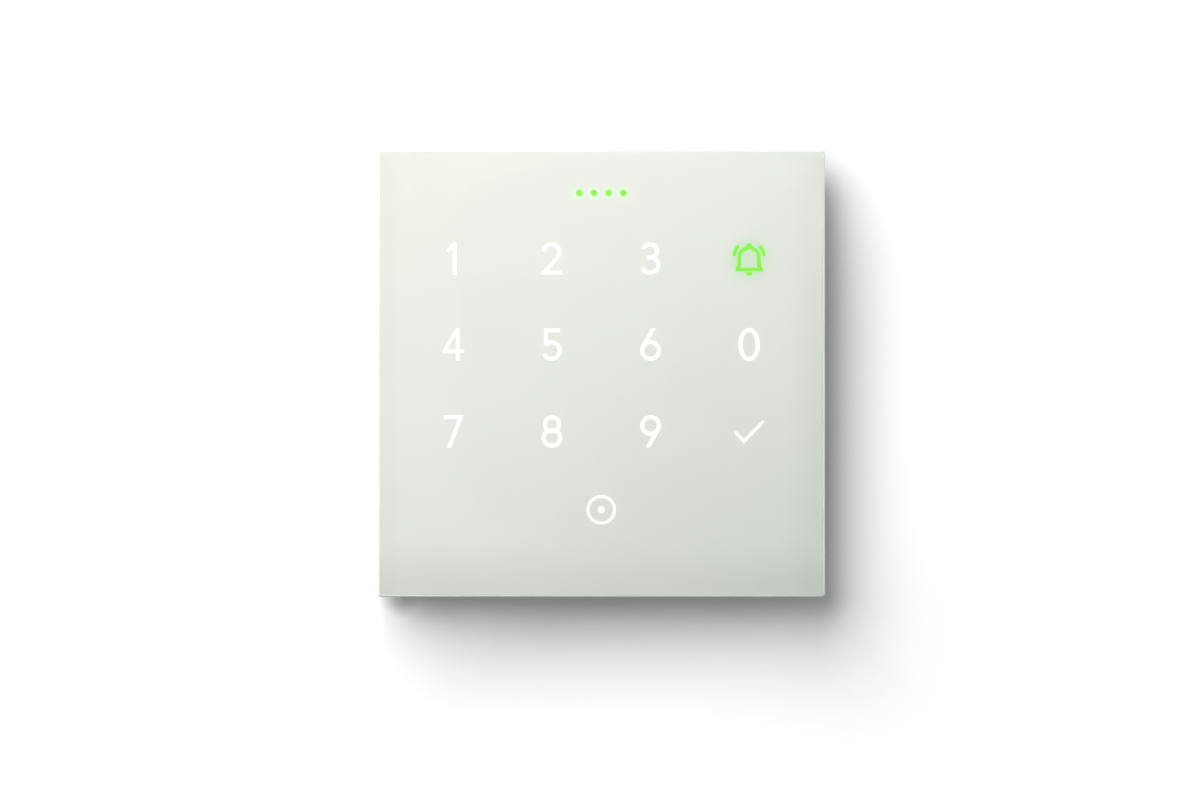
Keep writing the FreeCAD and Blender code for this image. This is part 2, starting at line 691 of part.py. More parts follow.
def clamp_springs():
    strips = []
    for x in TERMINAL_X:
        floor = box_at(x, RELEASE_Z, 1.7, 1.6, -5.5, -5.3)
        leg = box(x - 0.85, x + 0.85, -5.3, -4.15, RELEASE_Z - 0.8, RELEASE_Z - 0.6)
        strips.append(fused([floor, leg]))
    return group(strips)


def release_button(x):
    block = box_at(x, RELEASE_Z, 1.9, 1.7, -3.2, -0.15)
    top = [e for e in block.Edges if all(abs(v.Y + 0.15) < 0.01 for v in e.Vertexes)]
    slot = box_at(x, RELEASE_Z, 1.2, 0.35, -0.45, CUT)
    return block.makeChamfer(0.15, top).cut(slot)


def entry_seal():
    return frame(23.3, 4.0, 20.5, 2.5, REAR_WALL_BACK_Y, -1.35)


def rating_label():
    return rounded_plate(13.0, 6.0, 0.8, REAR_WALL_BACK_Y, REAR_WALL_BACK_Y + 0.1, 0, -9.0)


# Wall side

def wall_screw_positions():
    offset = WALL_SCREW_OFFSET
    return [(-offset, 0), (offset, 0), (0, -offset), (0, offset)]


def wall_bracket():
    centre_z = (BRACKET_TOP_Z + BRACKET_BOTTOM_Z) / 2
    half_z = (BRACKET_TOP_Z - BRACKET_BOTTOM_Z) / 2
    plate = rounded_plate(BRACKET_HALF_X, half_z, 3.0, BRACKET_FRONT_Y, 0, 0, centre_z)
    parts = [plate]
    for x in HOOK_X:
        parts.append(box(x - HOOK_HALF_WIDTH, x + HOOK_HALF_WIDTH,
                         HOOK_FRONT_Y, HOOK_BACK_Y, HOOK_FOOT_Z, HOOK_TOP_Z))
        parts.append(box(x - HOOK_HALF_WIDTH, x + HOOK_HALF_WIDTH,
                         HOOK_BACK_Y, BRACKET_FRONT_Y, HOOK_FOOT_Z, BRACKET_TOP_Z))
    parts.append(box(-5, 5, -6.4, BRACKET_FRONT_Y, BRACKET_BOTTOM_Z, TAB_TOP_Z))
    for side in (-1, 1):
        bead_x = side * 24.3
        parts.append(box_at(bead_x, 0, 1.0, 30.0, BRACKET_FRONT_Y - 0.5, BRACKET_FRONT_Y))
    body = fused(parts)
    tools = [rounded_plate(CABLE_OPENING_HALF, CABLE_OPENING_HALF, 5.0, -3, CUT)]
    tools += [disc(x, z, WALL_SCREW_HOLE_R, -3, CUT) for x, z in wall_screw_positions()]
    tools.append(disc(TAMPER_X, TAMPER_Z, 3.0, -3, CUT))
    tools.append(upright(0, LOCK_Y, LOCK_THREAD_HOLE_R, BRACKET_BOTTOM_Z - CUT, TAB_TOP_Z + CUT))
    return cut_all(body, tools)


def hexagon(radius, z0, z1):
    corners = [
        vec(radius * math.cos(math.radians(60 * i)), LOCK_Y + radius * math.sin(math.radians(60 * i)), z0)
        for i in range(6)
    ]
    return Part.Face(Part.makePolygon(corners + corners[:1])).extrude(vec(0, 0, z1 - z0))


def lock_nut():
    top_z = TAB_TOP_Z + 2.0
    body = hexagon(2.5 / math.cos(math.radians(30)), TAB_TOP_Z, top_z)
    return body.cut(upright(0, LOCK_Y, LOCK_THREAD_HOLE_R, TAB_TOP_Z - CUT, top_z + CUT))


LOCK_WASHER_TOP_Z = LOCK_RECESS_FLOOR_Z - 0.1
LOCK_HEAD_TOP_Z = LOCK_WASHER_TOP_Z - 0.35


def lock_washer():
    ring = upright(0, LOCK_Y, LOCK_WASHER_R, LOCK_HEAD_TOP_Z, LOCK_WASHER_TOP_Z)
    hole_r = LOCK_SHANK_R + 0.08
    return ring.cut(upright(0, LOCK_Y, hole_r, LOCK_HEAD_TOP_Z - CUT, LOCK_WASHER_TOP_Z + CUT))


def lock_screw():
    head_low_z = LOCK_HEAD_TOP_Z - 1.45
    head = upright(0, LOCK_Y, LOCK_HEAD_R, head_low_z, LOCK_HEAD_TOP_Z)
    rim = [e for e in head.Edges if abs(e.BoundBox.ZMax - head_low_z) < 0.01 and e.BoundBox.XLength > 1]
    head = head.makeFillet(0.4, rim)
    shank = upright(0, LOCK_Y, LOCK_SHANK_R, LOCK_HEAD_TOP_Z, -39.9)
    socket = hexagon(0.75 / math.cos(math.radians(30)), head_low_z - CUT, head_low_z + 0.9)
    return fused([head, shank]).cut(socket)


def named_shapes():
    y0, y1 = GLASS_BACK_Y, PRINT_BACK_Y
    shapes = {
        "glass_front": glass_front(),
        "icon_print_layer": icon_print_layer(),
        "white_icon_ink": group(white_symbols(y0, y1)),
        "green_icon_ink": group(green_symbols(y0, y1)),
        "diffuser_film": rounded_plate(
            DIFFUSER_HALF, DIFFUSER_HALF, 0.6, PRINT_BACK_Y, DIFFUSER_BACK_Y),
        "glass_bond_frame": frame(
            BOND_OUTER_HALF, 1.6, BOND_INNER_HALF, 0.8, PRINT_BACK_Y, HOUSING_FRONT_Y),
        "light_separator": light_separator(),
        "main_pcb": main_pcb(),
        "touch_pads": touch_pads(),
        "antenna_coil": antenna_coil(),
        "icon_leds": icon_leds(),
        "status_leds": status_leds(),
        "ferrite_strips": ferrite_strips(),
        "mcu_chip": chip(*MCU, 1.4),
        "touch_controller_chip": chip(*TOUCH_CONTROLLER, 1.1),
        "reader_chip": chip(*READER, 0.9),
        "bus_driver_chip": chip(*BUS_DRIVER, 1.5),
        "chip_leads": chip_leads(),
        "crystal_can": rounded_plate(1.6, 1.2, 0.4, BOARD_BACK_Y, BOARD_BACK_Y + 0.8, -20.0, 33.0),
        "power_inductor": power_inductor(),
        "buffer_capacitors": buffer_capacitors(),
        "ceramic_capacitors": ceramic_capacitors(),
        "buzzer": buzzer(),
        "terminal_header": terminal_header(),
        "header_pins": header_pins(),
        "tamper_switch_case": tamper_switch_case(),
        "tamper_spring": tamper_spring(),
        "pcb_screws": pcb_screws(),
        "rear_housing": rear_housing(),
        "entry_seal": entry_seal(),
        "rating_label": rating_label(),
        "tamper_plunger": tamper_plunger(),
        "terminal_plug": terminal_plug(),
        "clamp_springs": clamp_springs(),
        "wall_bracket": wall_bracket(),
        "lock_nut": lock_nut(),
        "lock_washer": lock_washer(),
        "lock_screw": lock_screw(),
    }
    for number, x in enumerate(TERMINAL_X, start=1):
        shapes["release_button_%d" % number] = release_button(x)
    return shapes


os.makedirs("parts", exist_ok=True)
for name, shape in named_shapes().items():
    shape.exportStep("parts/" + name + ".step")
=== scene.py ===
import json
import math

import bmesh
import bpy
from mathutils import Matrix, Vector


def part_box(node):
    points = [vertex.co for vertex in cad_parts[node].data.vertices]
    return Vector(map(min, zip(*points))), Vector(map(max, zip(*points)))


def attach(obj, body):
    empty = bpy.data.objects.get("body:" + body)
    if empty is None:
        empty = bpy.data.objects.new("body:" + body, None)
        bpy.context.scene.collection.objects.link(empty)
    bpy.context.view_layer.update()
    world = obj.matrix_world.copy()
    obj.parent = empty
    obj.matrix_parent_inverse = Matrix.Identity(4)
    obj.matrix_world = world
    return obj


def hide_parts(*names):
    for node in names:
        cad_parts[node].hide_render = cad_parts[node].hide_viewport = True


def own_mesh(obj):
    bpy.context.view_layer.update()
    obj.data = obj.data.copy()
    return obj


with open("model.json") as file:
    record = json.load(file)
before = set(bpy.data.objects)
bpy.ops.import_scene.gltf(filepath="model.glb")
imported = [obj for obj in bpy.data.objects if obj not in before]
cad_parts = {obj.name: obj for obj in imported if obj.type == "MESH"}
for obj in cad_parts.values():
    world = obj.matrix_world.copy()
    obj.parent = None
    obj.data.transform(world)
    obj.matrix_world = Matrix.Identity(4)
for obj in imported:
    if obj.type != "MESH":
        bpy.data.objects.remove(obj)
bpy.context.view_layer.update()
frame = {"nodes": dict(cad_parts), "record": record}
nodes = frame["nodes"]

MM = 0.001

# The panel is square and centred on the X and Z axes, and the glass is its front
glass_lo, glass_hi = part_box("glass_front")
HALF_WIDTH = glass_hi.x


def added(name, data):
    """A new object of the scene with the mesh, light or camera data."""
    made = bpy.data.objects.new(name, data)
    bpy.context.scene.collection.objects.link(made)
    return made


# ---------------------------------------------------------------- node helpers

class Graph:
    """Adds nodes to a tree. Values passed about are output sockets or plain numbers."""

    COLUMN = 180
    # Noise textures rarely leave this range, so it is what spread() maps from
    NOISE_RANGE = (0.3, 0.7)
    # A mix node keeps its colour sockets behind those of its other data types
    MIX_A, MIX_B, MIX_RESULT = 6, 7, 2

    def __init__(self, tree):
        self.tree = tree
        self.count = 0

    def node(self, kind, **settings):
        made = self.tree.nodes.new(kind)
        made.location = (self.count * self.COLUMN, 0)
        self.count += 1
        for key, value in settings.items():
            setattr(made, key, value)
        return made

    def link(self, source, target):
        self.tree.links.new(source, target)

    def put(self, value, socket):
        """Links an output, or sets a plain value, on an input socket."""
        if isinstance(value, bpy.types.NodeSocket):
            self.link(value, socket)
        else:
            socket.default_value = value

    def math(self, operation, a, b=0.0, clamp=False):
        made = self.node("ShaderNodeMath", operation=operation, use_clamp=clamp)
        self.put(a, made.inputs[0])
        self.put(b, made.inputs[1])
        return made.outputs[0]

    def plus(self, a, b):
        return self.math("ADD", a, b)

    def minus(self, a, b):
        return self.math("SUBTRACT", a, b)

    def times(self, a, b, clamp=False):
        return self.math("MULTIPLY", a, b, clamp)

    def larger(self, a, b):
        return self.math("MAXIMUM", a, b)

    def ramp(self, value, low, high, out_low=0.0, out_high=1.0, interpolation="LINEAR"):
        """Maps low..high to out_low..out_high, and stays level beyond both ends."""
        made = self.node("ShaderNodeMapRange", interpolation_type=interpolation)
        self.put(value, made.inputs["Value"])
        made.inputs["From Min"].default_value = low
        made.inputs["From Max"].default_value = high
        made.inputs["To Min"].default_value = out_low
        made.inputs["To Max"].default_value = out_high
        return made.outputs["Result"]

    def spread(self, noise, low, high):
        """Noise mapped to run from low to high."""
        return self.ramp(noise, *self.NOISE_RANGE, low, high)

    def coordinates(self):
        return self.node("ShaderNodeTexCoord").outputs["Object"]

    def axis(self, vector, name):
        made = self.node("ShaderNodeSeparateXYZ")
        self.link(vector, made.inputs[0])
        return made.outputs[name]

    def off_centre(self, vector, name):
        return self.math("ABSOLUTE", self.axis(vector, name))

    def distance(self, vector, point):
        made = self.node("ShaderNodeVectorMath", operation="DISTANCE")
        self.link(vector, made.inputs[0])
        made.inputs[1].default_value = point
        return made.outputs["Value"]

    def stretched(self, vector, factors):
        made = self.node("ShaderNodeMapping")
        self.link(vector, made.inputs["Vector"])
        made.inputs["Scale"].default_value = factors
        return made.outputs["Vector"]

    def noise(self, vector, scale, detail=4.0, roughness=0.55, output="Fac"):
        made = self.node("ShaderNodeTexNoise")
        self.link(vector, made.inputs["Vector"])
        made.inputs["Scale"].default_value = scale
        made.inputs["Detail"].default_value = detail
        made.inputs["Roughness"].default_value = roughness
        return made.outputs[output]

    def voronoi(self, vector, scale, feature="F1", output="Distance"):
        made = self.node("ShaderNodeTexVoronoi", feature=feature)
        self.link(vector, made.inputs["Vector"])
        made.inputs["Scale"].default_value = scale
        return made.outputs[output]

    def scaled(self, vector, factor):
        """A vector or colour times a number."""
        made = self.node("ShaderNodeVectorMath", operation="SCALE")
        self.link(vector, made.inputs[0])
        self.put(factor, made.inputs["Scale"])
        return made.outputs[0]

    def warped(self, vector, scale, reach):
        """The vector, pushed about by soft noise so that patterns on it lose straight lines."""
        offset = self.scaled(self.noise(vector, scale, 2.0, 0.5, "Color"), reach)
        made = self.node("ShaderNodeVectorMath", operation="ADD")
        self.link(vector, made.inputs[0])
        self.link(offset, made.inputs[1])
        return made.outputs[0]

    def mix_color(self, factor, a, b, blend_type="MIX"):
        made = self.node("ShaderNodeMix", data_type="RGBA", blend_type=blend_type)
        self.put(factor, made.inputs[0])
        self.put(a, made.inputs[self.MIX_A])
        self.put(b, made.inputs[self.MIX_B])
        return made.outputs[self.MIX_RESULT]

    def bump(self, height, strength, distance):
        made = self.node("ShaderNodeBump")
        self.link(height, made.inputs["Height"])
        made.inputs["Strength"].default_value = strength
        made.inputs["Distance"].default_value = distance
        return made.outputs["Normal"]

    def light_path(self, name):
        return self.node("ShaderNodeLightPath").outputs[name]

    def mix_shader(self, factor, first, second):
        """Runs from the first shader, where factor is 0, to the second, where it is 1."""
        made = self.node("ShaderNodeMixShader")
        self.put(factor, made.inputs[0])
        self.link(first.outputs[0], made.inputs[1])
        self.link(second.outputs[0], made.inputs[2])
        return made


def rgb(r, g, b):
    return (r, g, b, 1.0)


def dimmed(color, factor):
    """The colour with its red, green and blue times the factor."""
    return rgb(*[c * factor for c in color])


def principled_material(name):
    """A new material with its graph, its Principled shader and its output node."""
    material = bpy.data.materials.new(name)
    material.use_nodes = True
    material.node_tree.nodes.clear()
    graph = Graph(material.node_tree)
    shader = graph.node("ShaderNodeBsdfPrincipled")
    output = graph.node("ShaderNodeOutputMaterial")
    graph.link(shader.outputs[0], output.inputs["Surface"])
    return material, graph, shader, output


# ---------------------------------------------------------------- general materials

def moulded_plastic(name, color, rough=0.5, grain=0.03, grain_size=9000.0):
    """Moulded plastic: fine spark-eroded grain, slow tone shift and uneven gloss."""
    material, g, shader, _ = principled_material(name)
    place = g.coordinates()
    cloud = g.noise(place, 60.0, 3.0)
    g.link(g.mix_color(cloud, dimmed(color, 0.96), rgb(*color)), shader.inputs["Base Color"])
    g.link(g.spread(g.noise(place, 220.0), rough - 0.06, rough + 0.06),
           shader.inputs["Roughness"])
    g.link(g.bump(g.noise(place, grain_size, 2.0, 0.6), 0.35, grain * MM),
           shader.inputs["Normal"])
    return material


def metal(name, color, rough, brushed=(1.0, 1.0, 1.0), streak=900.0):
    """Metal with direction lines, tone patches and uneven gloss."""
    material, g, shader, _ = principled_material(name)
    place = g.coordinates()
    lines = g.noise(g.stretched(place, brushed), streak, 5.0, 0.6)
    patches = g.noise(place, 90.0, 3.0)
    g.link(g.mix_color(patches, dimmed(color, 0.88), rgb(*color)), shader.inputs["Base Color"])
    g.link(g.ramp(lines, 0.25, 0.75, rough - 0.08, rough + 0.1), shader.inputs["Roughness"])
    g.link(g.bump(lines, 0.3, 0.01 * MM), shader.inputs["Normal"])
    shader.inputs["Metallic"].default_value = 1.0
    return material


def foam(name, color, pore=1600.0):
    """Closed-cell foam: rounded cells in bump and tone."""
    material, g, shader, _ = principled_material(name)
    place = g.coordinates()
    cells = g.voronoi(place, pore)
    lighter = rgb(*[min(1.0, c * 1.7 + 0.01) for c in color])
    g.link(g.mix_color(g.ramp(cells, 0.1, 0.7), rgb(*color), lighter), shader.inputs["Base Color"])
    g.link(g.spread(g.noise(place, 500.0, 3.0), 0.82, 0.97), shader.inputs["Roughness"])
    g.link(g.bump(cells, 0.6, 0.12 * MM), shader.inputs["Normal"])
    shader.inputs["Specular IOR Level"].default_value = 0.25
    return material


def speckled(name, color, speck, rough):
    """Sintered or pressed material with fine specks."""
    material, g, shader, _ = principled_material(name)
    place = g.coordinates()
    grains = g.voronoi(place, 1800.0)
    cloud = g.noise(place, 300.0)
    g.link(g.mix_color(g.ramp(grains, 0.05, 0.3), rgb(*speck), rgb(*color)),
           shader.inputs["Base Color"])
    g.link(g.spread(cloud, rough - 0.07, rough + 0.07), shader.inputs["Roughness"])
    g.link(g.bump(g.plus(grains, cloud), 0.3, 0.03 * MM), shader.inputs["Normal"])
    return material


# Between these depths the LEDs' white cups turn into their tinted lenses
LED_LENS_Y = -10.2 * MM
LED_CUP_Y = -9.6 * MM


def led_resin(name, lens):
    """White cup with tinted resin towards the front of each LED."""
    material, g, shader, _ = principled_material(name)
    place = g.coordinates()
    cloud = g.noise(place, 900.0, 3.0)
    tinted = g.mix_color(cloud, rgb(*lens), dimmed(lens, 0.9))
    cup = g.ramp(g.axis(place, "Y"), LED_LENS_Y, LED_CUP_Y)
    g.link(g.mix_color(cup, rgb(0.85, 0.85, 0.82), tinted), shader.inputs["Base Color"])
    g.link(g.spread(cloud, 0.18, 0.3), shader.inputs["Roughness"])
    shader.inputs["Subsurface Weight"].default_value = 0.1
    shader.inputs["Subsurface Scale"].default_value = 0.5 * MM
    return material


def board_laminate(name):
    """Green solder mask with copper tracks showing through it."""
    material, g, shader, _ = principled_material(name)
    place = g.coordinates()
    cells = g.voronoi(g.stretched(place, (1.0, 0.0, 1.0)), 420.0, "DISTANCE_TO_EDGE")
    tracks = g.ramp(cells, 0.06, 0.1, 1.0, 0.0)
    weave = g.noise(place, 2500.0, 2.0)
    mask = g.mix_color(weave, rgb(0.010, 0.120, 0.045), rgb(0.016, 0.150, 0.060))
    g.link(g.mix_color(tracks, mask, rgb(0.03, 0.24, 0.09)), shader.inputs["Base Color"])
    g.link(g.spread(weave, 0.28, 0.38), shader.inputs["Roughness"])
    g.link(g.bump(tracks, 0.4, 0.03 * MM), shader.inputs["Normal"])
    return material


def galvanised_sheet(name):
    """Zinc-plated sheet: soft crystal patches, rolling lines and small scuffs."""
    material, g, shader, _ = principled_material(name)
    place = g.coordinates()
    crystals = g.node("ShaderNodeSeparateColor")
    g.link(g.voronoi(g.warped(place, 500.0, 3 * MM), 170.0, output="Color"), crystals.inputs[0])
    tone, gloss = crystals.outputs[0], crystals.outputs[1]
    rolling = g.noise(g.stretched(place, (1.0, 1.0, 0.02)), 2600.0, 3.0)
    scuffs = g.ramp(g.noise(g.stretched(place, (0.25, 1.0, 1.0)), 900.0, 6.0, 0.7), 0.62, 0.7)
    steel = g.mix_color(tone, rgb(0.58, 0.595, 0.61), rgb(0.66, 0.67, 0.675))
    g.link(g.mix_color(g.times(scuffs, 0.35), steel, rgb(0.78, 0.78, 0.77)),
           shader.inputs["Base Color"])
    uneven = g.plus(g.times(gloss, 0.12), g.times(rolling, 0.12))
    g.link(g.plus(uneven, 0.26), shader.inputs["Roughness"])
    g.link(g.bump(rolling, 0.25, 0.01 * MM), shader.inputs["Normal"])
    shader.inputs["Metallic"].default_value = 1.0
    return material


# ---------------------------------------------------------------- glass and inks

# Width of the glass's ground border, and half the width over which it begins
GROUND_WIDTH = 0.38 * MM
GROUND_BLEND = 0.04 * MM

# Painted glow on the ground glass's edges, and a painted glint along the right-hand one:
# it rises between these distances from that edge
PAINTED_EDGE_GLOW = 0.03
PAINTED_EDGE_GLINT = 0.20
GLINT_FROM = 0.2 * MM
GLINT_TO = 0.1 * MM


def clear_glass(name):
    """Toughened plate: clear front, and a ground edge that scatters light, with a painted glow and
    glint.
    """
    material, g, face, output = principled_material(name)
    place = g.coordinates()
    smear = g.noise(g.stretched(place, (1.0, 1.0, 0.6)), 45.0, 4.0, 0.6)
    g.link(g.ramp(smear, 0.45, 0.75, 0.0, 0.012), face.inputs["Roughness"])
    face.inputs["Base Color"].default_value = rgb(0.99, 1.0, 0.992)
    face.inputs["IOR"].default_value = 1.5
    face.inputs["Transmission Weight"].default_value = 1.0

    ground = g.node("ShaderNodeBsdfPrincipled")
    grind = g.noise(place, 5000.0, 3.0)
    g.link(g.mix_color(grind, rgb(0.76, 0.80, 0.77), rgb(0.82, 0.86, 0.83)),
           ground.inputs["Base Color"])
    g.link(g.spread(grind, 0.5, 0.62), ground.inputs["Roughness"])
    g.link(g.bump(grind, 0.3, 0.01 * MM), ground.inputs["Normal"])
    # Painted glint and glow: the ground edge gives off light, more at the outer side of the right
    # edge
    painted_glint = g.ramp(g.axis(place, "X"), HALF_WIDTH - GLINT_FROM, HALF_WIDTH - GLINT_TO,
                   0.0, PAINTED_EDGE_GLINT)
    ground.inputs["Emission Color"].default_value = rgb(0.97, 1.0, 0.97)
    g.link(g.plus(PAINTED_EDGE_GLOW, painted_glint), ground.inputs["Emission Strength"])

    inner = HALF_WIDTH - GROUND_WIDTH
    reach = g.larger(g.off_centre(place, "X"), g.off_centre(place, "Z"))
    border = g.ramp(reach, inner - GROUND_BLEND, inner + GROUND_BLEND)
    plate = g.mix_shader(border, face, ground)

    # Light from the lamps and off the inks passes straight through
    clear = g.node("ShaderNodeBsdfTransparent")
    clear.inputs["Color"].default_value = rgb(0.96, 0.97, 0.96)
    passing = g.larger(g.light_path("Is Shadow Ray"), g.light_path("Is Diffuse Ray"))
    g.link(g.mix_shader(passing, plate, clear).outputs[0], output.inputs["Surface"])
    return material


# The status dots are the top row of the green ink, and the bell is below them
DOT_ROW_DEPTH = 2 * MM
DOT_GAP = 0.8 * MM

# Painted tint of the light on the face at two opposite corners: warmer upper left, greener lower
# right
PAINTED_TINT_UPPER_LEFT = rgb(0.818, 0.796, 0.767)
PAINTED_TINT_LOWER_RIGHT = rgb(0.785, 0.812, 0.770)

# Painted shade at three of the face's edges: how much darker, and over what width
PAINTED_EDGE_SHADE = (
    ("X", -1, 6 * MM, 0.06),
    ("X", 1, 9 * MM, 0.07),
    ("Z", -1, 13 * MM, 0.115),
)

# Painted green glow and tint, for the light that spreads in the ink around the dots and the bell:
# how far from the middle of a window, and how strong
PAINTED_GREEN_GLOW = rgb(0.08, 1.0, 0.03)
DOT_RIM_REACH, DOT_RIM_GLOW = 1.5 * MM, 1.1
DOT_HALO_REACH, DOT_HALO_GLOW = 5 * MM, 0.05
BELL_HALO = (2.6 * MM, 5.9 * MM, 1.0, 0.0)
BELL_HALO_GLOW = 0.075
PAINTED_DOT_TINT = rgb(0.96, 1.0, 0.90)
PAINTED_BELL_TINT = rgb(0.83, 0.91, 0.81)


def middle_of(points):
    """Centre of the box around the points."""
    lo = Vector([min(p[i] for p in points) for i in range(3)])
    hi = Vector([max(p[i] for p in points) for i in range(3)])
    return (lo + hi) / 2


def green_windows():
    """Centres of the four status dots and of the bell, read from the printed shapes."""
    points = [vertex.co for vertex in nodes["green_icon_ink"].data.vertices]
    row_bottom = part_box("green_icon_ink")[1].z - DOT_ROW_DEPTH
    row = sorted((p for p in points if p.z > row_bottom), key=lambda p: p.x)
    dots = [[row[0]]]
    for point in row[1:]:
        if point.x - dots[-1][-1].x > DOT_GAP:
            dots.append([])
        dots[-1].append(point)
    bell = [p for p in points if p.z <= row_bottom]
    return [middle_of(dot) for dot in dots], middle_of(bell)


def glow_near(g, place, points, reach):
    """Falls from 1 to 0 over reach around the nearest of the points."""
    nearest = g.distance(place, points[0])
    for point in points[1:]:
        nearest = g.math("MINIMUM", nearest, g.distance(place, point))
    return g.math("POWER", g.ramp(nearest, 0.0, reach, 1.0, 0.0), 2.0)


def corner_to_corner(g, place, low, high):
    """Runs from low at the upper left corner of the panel to high at the lower right."""
    across = g.minus(g.axis(place, "X"), g.axis(place, "Z"))
    return g.ramp(across, -70 * MM, 80 * MM, low, high)


def offwhite_ink(name):
    """Screen-printed ink on the glass's back, with painted light, shade, green glow and green
    tint.
    """
    material, g, shader, _ = principled_material(name)
    place = g.coordinates()
    # Painted tint of the light: it shifts from the upper left corner to the lower right
    tone = g.mix_color(corner_to_corner(g, place, 0.0, 1.0), PAINTED_TINT_UPPER_LEFT, PAINTED_TINT_LOWER_RIGHT)
    level = g.spread(g.noise(place, 35.0, 3.0), 0.985, 1.0)
    # Painted light: the upper part of the face is paler to the right and darker to the left
    upper = g.ramp(g.axis(place, "Z"), -10 * MM, 40 * MM)
    painted_light_right = g.times(upper, g.times(g.axis(place, "X"), 1.1))
    level = g.times(level, g.plus(1.0, painted_light_right))
    # Painted shade: the face darkens towards its left, right and bottom edges
    for axis, side, width, shade_depth in PAINTED_EDGE_SHADE:
        from_edge = g.minus(HALF_WIDTH, g.times(g.axis(place, axis), side))
        level = g.times(level, g.ramp(from_edge, 0.0, width, 1.0 - shade_depth, 1.0, "SMOOTHSTEP"))

    dots, bell = green_windows()
    # Painted green glow around the dots and the bell, and a painted tint of their light in the ink
    dot_glow_mask = glow_near(g, place, dots, DOT_RIM_REACH)
    dot_halo_mask = glow_near(g, place, dots, DOT_HALO_REACH)
    bell_glow_mask = g.ramp(g.distance(place, bell), *BELL_HALO, "SMOOTHSTEP")
    tone = g.mix_color(bell_glow_mask, tone, PAINTED_BELL_TINT, "MULTIPLY")
    tone = g.mix_color(g.times(dot_glow_mask, 3.0, clamp=True), tone, PAINTED_DOT_TINT, "MULTIPLY")

    g.link(g.scaled(tone, level), shader.inputs["Base Color"])
    g.link(g.spread(g.noise(place, 400.0, 3.0), 0.42, 0.52), shader.inputs["Roughness"])
    g.link(g.bump(g.noise(place, 5000.0, 2.0), 0.15, 0.01 * MM), shader.inputs["Normal"])
    glow = g.plus(g.times(dot_glow_mask, DOT_RIM_GLOW), g.times(dot_halo_mask, DOT_HALO_GLOW))
    shader.inputs["Emission Color"].default_value = PAINTED_GREEN_GLOW
    g.link(g.plus(glow, g.times(bell_glow_mask, BELL_HALO_GLOW)), shader.inputs["Emission Strength"])
    return material


def lit_ink(name, base, light, strength, unevenness, gain):
    """Translucent ink with light behind it. Gain is the lower right corner's extra light."""
    material, g, shader, _ = principled_material(name)
    place = g.coordinates()
    spots = g.noise(place, 700.0, 2.0)
    g.link(g.mix_color(spots, dimmed(base, 0.97), rgb(*base)), shader.inputs["Base Color"])
    g.link(g.spread(spots, 0.4, 0.5), shader.inputs["Roughness"])
    g.link(g.bump(g.noise(place, 5000.0, 2.0), 0.1, 0.01 * MM), shader.inputs["Normal"])
    uneven = g.spread(g.noise(place, 250.0, 2.0), strength * (1.0 - unevenness), strength)
    shader.inputs["Emission Color"].default_value = rgb(*light)
    g.link(g.times(uneven, corner_to_corner(g, place, 1.0, gain)),
           shader.inputs["Emission Strength"])
    return material


# ---------------------------------------------------------------- finishes of the slots

FINISHES = {
    "clear_glass": (clear_glass, {}),
    "offwhite_ink": (offwhite_ink, {}),
    "lit_white_ink": (lit_ink, dict(base=(0.10, 0.10, 0.095), light=(0.99, 1.0, 0.965),
                                    strength=0.92, unevenness=0.015, gain=1.10)),
    "lit_green_ink": (lit_ink, dict(base=(0.06, 0.12, 0.03), light=(0.25, 1.0, 0.045),
                                    strength=0.83, unevenness=0.07, gain=1.0)),
    "milky_film": (moulded_plastic, dict(color=(0.88, 0.88, 0.88), rough=0.6, grain=0.01)),
    "foam_tape": (foam, dict(color=(0.035, 0.035, 0.035))),
    "white_moulding": (moulded_plastic, dict(color=(0.86, 0.86, 0.84))),
    "board_laminate": (board_laminate, {}),
    "copper": (metal, dict(color=(0.90, 0.50, 0.32), rough=0.28)),
    "white_led": (led_resin, dict(lens=(0.85, 0.62, 0.12))),
    "green_led": (led_resin, dict(lens=(0.55, 0.85, 0.50))),
    "ferrite": (speckled, dict(color=(0.045, 0.045, 0.05), speck=(0.10, 0.10, 0.11),
                               rough=0.55)),
    "chip_epoxy": (speckled, dict(color=(0.018, 0.018, 0.019), speck=(0.035, 0.035, 0.037),
                                  rough=0.5)),
    "tinned_metal": (metal, dict(color=(0.78, 0.78, 0.80), rough=0.22)),
    "nickel_can": (metal, dict(color=(0.74, 0.72, 0.68), rough=0.25, brushed=(1.0, 1.0, 0.05))),
    "aluminium_can": (metal, dict(color=(0.84, 0.84, 0.86), rough=0.24,
                                  brushed=(1.0, 0.05, 1.0))),
    "capacitor_ceramic": (speckled, dict(color=(0.42, 0.27, 0.16), speck=(0.52, 0.36, 0.22),
                                         rough=0.5)),
    "black_plastic": (moulded_plastic, dict(color=(0.022, 0.022, 0.024), rough=0.45)),
    "green_plastic": (moulded_plastic, dict(color=(0.03, 0.30, 0.07), rough=0.38)),
    "spring_steel": (metal, dict(color=(0.66, 0.66, 0.68), rough=0.25)),
    "zinc_screw": (metal, dict(color=(0.72, 0.73, 0.74), rough=0.24, brushed=(1.0, 1.0, 0.1))),
    "housing_plastic": (moulded_plastic, dict(color=(0.48, 0.485, 0.47), rough=0.46,
                                              grain=0.06, grain_size=4200.0)),
    "seal_foam": (foam, dict(color=(0.022, 0.022, 0.023), pore=1100.0)),
    "label_foil": (metal, dict(color=(0.80, 0.80, 0.81), rough=0.38, brushed=(0.03, 1.0, 1.0),
                               streak=1800.0)),
    "white_plastic": (moulded_plastic, dict(color=(0.84, 0.84, 0.82), rough=0.35)),
    "orange_plastic": (moulded_plastic, dict(color=(0.83, 0.20, 0.015), rough=0.35)),
    "bracket_steel": (galvanised_sheet, {}),
    "nylon_washer": (moulded_plastic, dict(color=(0.74, 0.72, 0.62), rough=0.4)),
}

